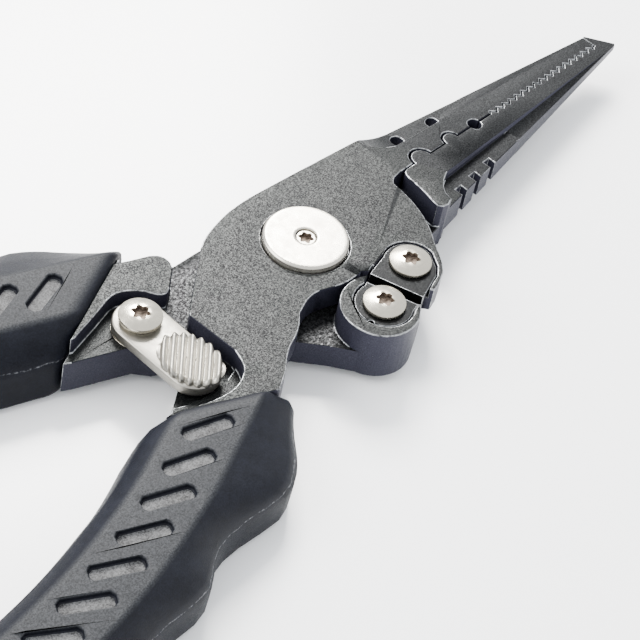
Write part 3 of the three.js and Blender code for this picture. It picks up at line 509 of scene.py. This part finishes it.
def lathed(name, centre, profile, materials, second_from=None, segments=96):
    """A solid of revolution from points (radius, height, lobed); lobed rings have six lobes.

    Faces from profile point second_from on take the second material.
    """
    bm = bmesh.new()
    rings = []
    for radius, height, lobed in profile:
        ring = []
        for i in range(segments if radius else 1):
            angle = 2 * math.pi * i / segments
            reach = radius * (1 - LOBE_DEPTH * lobed * (1 - math.cos(6 * angle)))
            x = reach * math.cos(angle)
            y = reach * math.sin(angle)
            ring.append(bm.verts.new((x * MM, y * MM, height * MM)))
        rings.append(ring)
    for k, (low, high) in enumerate(zip(rings, rings[1:] + rings[:1])):
        if len(low) == 1 and len(high) == 1:
            continue
        for i in range(segments):
            j = (i + 1) % segments
            corners = [low[i % len(low)], low[j % len(low)], high[j % len(high)], high[i % len(high)]]
            face = bm.faces.new(list(dict.fromkeys(corners)))
            face.material_index = 1 if second_from is not None and k >= second_from else 0
            face.smooth = True
    bmesh.ops.recalc_face_normals(bm, faces=bm.faces)
    piece = as_piece(bm, name, materials, 38)
    piece.location = (centre[0] * MM, centre[1] * MM, 0)
    return piece


SCREW_HEAD = 3.9
SCREW_WALL = 0.75
SCREW_HEIGHT = 1.6
SCREW_SHANK = 1.95
SOCKET = 1.62
SOCKET_DEPTH = 1.1


def button_screw(node, centre, seat, tip, materials):
    """A low domed head with a six-lobe socket on a plain shank."""
    rise = SCREW_HEIGHT - SCREW_WALL
    cap = (SCREW_HEAD**2 + rise**2) / (2 * rise)
    top = seat + SCREW_HEIGHT

    def on_cap(radius):
        return top - cap + math.sqrt(cap * cap - radius * radius)

    profile = [(0, tip, 0), (SCREW_SHANK - 0.2, tip, 0), (SCREW_SHANK, tip + 0.2, 0), (SCREW_SHANK, seat, 0)]
    profile += [(SCREW_HEAD - 0.25, seat, 0), (SCREW_HEAD - 0.05, seat + 0.12, 0)]
    profile += [(SCREW_HEAD, seat + 0.3, 0), (SCREW_HEAD, seat + SCREW_WALL - 0.12, 0)]
    steps = 9
    for i in range(steps + 1):
        radius = SCREW_HEAD - 0.06 + (SOCKET + 0.3 - SCREW_HEAD + 0.06) * i / steps
        profile.append((radius, on_cap(radius), 0))
    profile.append((SOCKET + 0.12, on_cap(SOCKET) - 0.01, 1))
    second = len(profile)
    floor = top - SOCKET_DEPTH
    profile += [(SOCKET, top - 0.3, 1), (SOCKET, floor, 1), (0.8, floor - 0.05, 0), (0, floor - 0.3, 0)]
    piece = lathed(node + "_finished", centre, profile, materials, second)
    finish(piece, node)


UPPER_SCREW_AT = (10.6, -16.1)
LOWER_SCREW_AT = (-0.8, -19.4)
LEVER_AT = (-35.5, 6.9)
BLADE_SCREW_SEAT, LEVER_SCREW_SEAT = 12.32, 12.22
UPPER_SCREW_TIP, LOWER_SCREW_TIP, LEVER_SCREW_TIP = 7.6, 4, 3.6


def add_screws(materials):
    button_screw("upper_blade_screw", UPPER_SCREW_AT, BLADE_SCREW_SEAT, UPPER_SCREW_TIP, materials)
    button_screw("lower_blade_screw", LOWER_SCREW_AT, BLADE_SCREW_SEAT, LOWER_SCREW_TIP, materials)
    button_screw("lock_lever_screw", LEVER_AT, LEVER_SCREW_SEAT, LEVER_SCREW_TIP, materials)


DISC_TOP, DISC_BOTTOM, DISC_RADIUS = 13.8, 11.7, 7.9
DISC_BORE, RECESS, RECESS_DEPTH = 1.3, 1.95, 1.5
CENTRE_SCREW_FOOT, CENTRE_SCREW_SHANK, CENTRE_SCREW_HEAD = 6, 1.15, 1.8


def add_pivot(steel, socket_colour):
    """The turned disc over the pivot, the screw in its middle and the bolt's round head below."""
    top, bottom, radius = DISC_TOP, DISC_BOTTOM, DISC_RADIUS
    disc = [(DISC_BORE, bottom, 0), (radius - 0.1, bottom, 0), (radius, bottom + 0.1, 0)]
    disc += [(radius, top - 0.42, 0), (radius - 0.06, top - 0.3, 0), (radius - 0.36, top - 0.03, 0)]
    disc += [(radius - 0.5, top, 0), (radius - 0.9, top, 0), (2.5, top, 0)]
    disc += [(RECESS + 0.2, top, 0), (RECESS + 0.03, top - 0.1, 0)]
    disc += [(RECESS, top - RECESS_DEPTH, 0), (DISC_BORE, top - RECESS_DEPTH, 0)]
    piece = lathed("pivot_top_disc_finished", (0, 0), disc, [steel, socket_colour])
    finish(piece, "pivot_top_disc")
    foot, shank, rim = CENTRE_SCREW_FOOT, CENTRE_SCREW_SHANK, CENTRE_SCREW_HEAD
    head = top - 1.45
    face = top - 0.35
    screw = [(0, foot, 0), (shank, foot, 0), (shank, head, 0), (rim, head, 0)]
    screw += [(rim, face - 0.15, 0), (rim - 0.12, face, 0), (1.5, face, 1)]
    socket = len(screw)
    screw += [(1.4, face - 0.1, 1), (1.4, face - 0.8, 1), (0, face - 0.9, 0)]
    piece = lathed("pivot_centre_screw_finished", (0, 0), screw, [steel, socket_colour], socket, 72)
    finish(piece, "pivot_centre_screw")
    bevelled("pivot_bolt", [steel], 0.12)


# ---- Spring ----

SPRING_RADIUS, SPRING_WIRE, SPRING_TURNS = 5.95, 0.5, 3.75
SPRING_BOTTOM, SPRING_TOP, SPRING_LEG = 4.75, 9.65, 8.9
SPRING_SLIMMED = 0.96


def spring_point(share):
    """Point of the wire's middle: a leg along the bottom arm's slot, the coil, a leg along the top arm's."""
    leg = 0.04
    coil = min(max((share - leg) / (1 - 2 * leg), 0), 1)
    out = max(0, leg - share, share - (1 - leg)) / leg
    angle = math.pi + coil * SPRING_TURNS * 2 * math.pi
    reach = SPRING_RADIUS + (SPRING_LEG - SPRING_RADIUS) * out
    height = SPRING_BOTTOM + (SPRING_TOP - SPRING_BOTTOM) * coil
    return Vector((reach * math.cos(angle), reach * math.sin(angle), height)) * MM


def add_spring(steel):
    """The wire as a tube, in place of the CAD's spring."""
    bm = bmesh.new()
    steps, sides = 260, 12
    rings = []
    for i in range(steps + 1):
        at = spring_point(i / steps)
        along = (spring_point(min(1, (i + 1) / steps)) - spring_point(max(0, (i - 1) / steps))).normalized()
        side = along.cross(Vector((0, 0, 1))).normalized()
        up = side.cross(along)
        ring = []
        for k in range(sides):
            angle = 2 * math.pi * k / sides
            outward = side * math.cos(angle) + up * math.sin(angle)
            ring.append(bm.verts.new(at + outward * SPRING_WIRE * SPRING_SLIMMED * MM))
        rings.append(ring)
    for low, high in zip(rings, rings[1:]):
        bridge(bm, low, high)
    bm.faces.new(rings[0])
    bm.faces.new(rings[-1])
    bmesh.ops.recalc_face_normals(bm, faces=bm.faces)
    for face in bm.faces:
        face.smooth = True
    piece = as_piece(bm, "return_spring_finished", [steel])
    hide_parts("return_spring")
    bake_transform(piece)


# ---- Lock lever ----

LEVER_TIP = (-36.16, -6.6)
LEVER_HALF_WIDTH = 4.9
LEVER_BOTTOM, LEVER_TOP, LEVER_PAD_TOP = 9.4, 11.45, 12.7
PAD_AT = (-35.7, -5.3)
PAD_HALF = (5.1, 6.7)
RIB_PITCH = 1.6
RIB_TURN = math.radians(40)
RIB_DEPTH, RIB_ROUNDNESS, RIB_SCALLOP = 0.6, 0.7, 0.07
PAD_RIM_FROM, PAD_RIM_FALL = 0.86, 0.55
LEVER_HOLE = 2.1
STUD_AT = (-35.9, -8.7)
STUD_RINGS = ((1.1, 8.6), (1.3, 8.8), (1.3, 9.6))


def capsule(bm, inset, height):
    """Loop of the lever's outline, moved inwards by inset."""
    loop = []
    radius = LEVER_HALF_WIDTH - inset
    steps = 32
    for centre, start in ((LEVER_AT, 0), (LEVER_TIP, math.pi)):
        for i in range(steps + 1):
            angle = start + math.pi * i / steps
            x = centre[0] + radius * math.cos(angle)
            y = centre[1] + radius * math.sin(angle)
            loop.append(bm.verts.new((x * MM, y * MM, height * MM)))
    return loop


def lever_plate(bm):
    """The rounded bar with its screw hole."""
    levels = [(0.3, LEVER_BOTTOM), (0.09, LEVER_BOTTOM + 0.09), (0, LEVER_BOTTOM + 0.3)]
    levels += [(0, LEVER_TOP - 0.35), (0.1, LEVER_TOP - 0.1), (0.35, LEVER_TOP)]
    loops = [capsule(bm, inset, height) for inset, height in levels]
    for low, high in zip(loops, loops[1:]):
        bridge(bm, low, high)
    hole = [round_loop(bm, LEVER_AT, LEVER_HOLE, height) for height in (LEVER_BOTTOM, LEVER_TOP)]
    bridge(bm, hole[1], hole[0])
    fill_between(bm, [loops[0], hole[0]])
    fill_between(bm, [loops[-1], hole[1]])


def rib_share(x, y):
    """1 along the crest of a rib and 0 in the groove between two."""
    across = (y - PAD_AT[1]) * math.cos(RIB_TURN) - (x - PAD_AT[0]) * math.sin(RIB_TURN)
    return (0.5 + 0.5 * math.cos(2 * math.pi * across / RIB_PITCH)) ** RIB_ROUNDNESS


def lever_pad(bm):
    """An oval with rounded ribs slanting across it, scalloped where they run out at its rim."""
    around, rings = 180, 44
    loops = []
    for k in range(1, rings + 1):
        share = k / rings
        loop = []
        for i in range(around):
            angle = 2 * math.pi * i / around
            x = PAD_AT[0] + PAD_HALF[0] * share * math.cos(angle)
            y = PAD_AT[1] + PAD_HALF[1] * share * math.sin(angle)
            rib = rib_share(x, y)
            pull = 1 - RIB_SCALLOP * (1 - rib) * share**6
            x = PAD_AT[0] + (x - PAD_AT[0]) * pull
            y = PAD_AT[1] + (y - PAD_AT[1]) * pull
            fall = PAD_RIM_FALL * max(0, (share - PAD_RIM_FROM) / (1 - PAD_RIM_FROM)) ** 2
            height = LEVER_PAD_TOP - RIB_DEPTH * (1 - rib) - fall
            loop.append(bm.verts.new((x * MM, y * MM, height * MM)))
        loops.append(loop)
    foot = [bm.verts.new((v.co.x, v.co.y, (LEVER_TOP - 0.3) * MM)) for v in loops[-1]]
    for low, high in zip(loops, loops[1:] + [foot]):
        bridge(bm, low, high)
    bm.faces.new(foot)
    bm.faces.new(loops[0])


def add_lever(steel):
    """Plate, thumb pad and the catch stud under its tip, as one piece."""
    bm = bmesh.new()
    lever_plate(bm)
    lever_pad(bm)
    stud = [round_loop(bm, STUD_AT, radius, height, 32) for radius, height in STUD_RINGS]
    for low, high in zip(stud, stud[1:]):
        bridge(bm, low, high)
    bm.faces.new(stud[0])
    bm.faces.new(stud[-1])
    bmesh.ops.recalc_face_normals(bm, faces=bm.faces)
    for face in bm.faces:
        face.smooth = True
    piece = as_piece(bm, "lock_lever_finished", [steel])
    finish(piece, "lock_lever")


# ---- Grips ----

GRIP_TOP = 14.4
GRIP_ROUNDING = 0.3
WINDOW_SHALLOWEST, WINDOW_DEEPEST = 0.8, 1.2
LEVEL_FROM = 0.99


def add_grips(materials):
    """Each window in the band has a rough speckled floor of its own material."""
    skin, window = range(2)
    for node in ("top_arm_grip", "bottom_arm_grip"):
        grip = bevelled(node, materials, GRIP_ROUNDING, skin, 3, 55)
        for polygon in grip.data.polygons:
            depth = GRIP_TOP - polygon.center.z / MM
            floor = polygon.normal.z > LEVEL_FROM and WINDOW_SHALLOWEST < depth < WINDOW_DEEPEST
            polygon.material_index = window if floor else skin


# ---- Cutter ----


BLADE_ROUNDING = 0.12
BLADE_FACE = ((0.003, 0.0032, 0.0035), (0.013, 0.0135, 0.0138))


def add_blades(face, edge):
    for node in ("upper_cutter_blade", "lower_cutter_blade"):
        bevelled(node, [face, edge], BLADE_ROUNDING, 1)


# ---- Assembly ----


def dress(node, material):
    """A CAD node that is shown as it is."""
    NODES[node].data.materials.clear()
    NODES[node].data.materials.append(material)


def main():
    add_camera()
    add_lights()
    add_floor()
    add_arms(arm_materials())
    disc_steel = turned_steel("disc_steel", (0.55, 0.52, 0.455), 0.3)
    screw_steel = turned_steel("screw_steel", (0.5, 0.465, 0.385), 0.24)
    lever_steel = brushed_steel("lever_steel", (0.30, 0.285, 0.25), 0.36, (1, 0.15, 1))
    spring_steel = brushed_steel("spring_steel", (0.5, 0.5, 0.5), 0.3, (1, 1, 4))
    socket_colour = dark_socket_colour()
    add_pivot(disc_steel, socket_colour)
    add_screws([screw_steel, socket_colour])
    add_lever(lever_steel)
    bevelled("lock_lever_spacer", [screw_steel], 0.05)
    bevelled("lock_lever_washer", [screw_steel], 0.08)
    blade = grained_metal("blade_face", *BLADE_FACE, 0.36, 0.82, 0.2, 0.008)
    # The blade edges get a patchy painted highlight.
    add_blades(blade, patchy_edge_highlight("blade_edge", (0.06, 0.062, 0.065), (0.3, 0.31, 0.32)))
    add_grips([grip_skin(), grip_window_floor()])
    bronze = brushed_steel("bushing_bronze", (0.55, 0.36, 0.16), 0.35, (1, 1, 6))
    dress("pivot_bushing", bronze)
    add_spring(spring_steel)
    dress("lap_washer", moulded_polymer())


main()
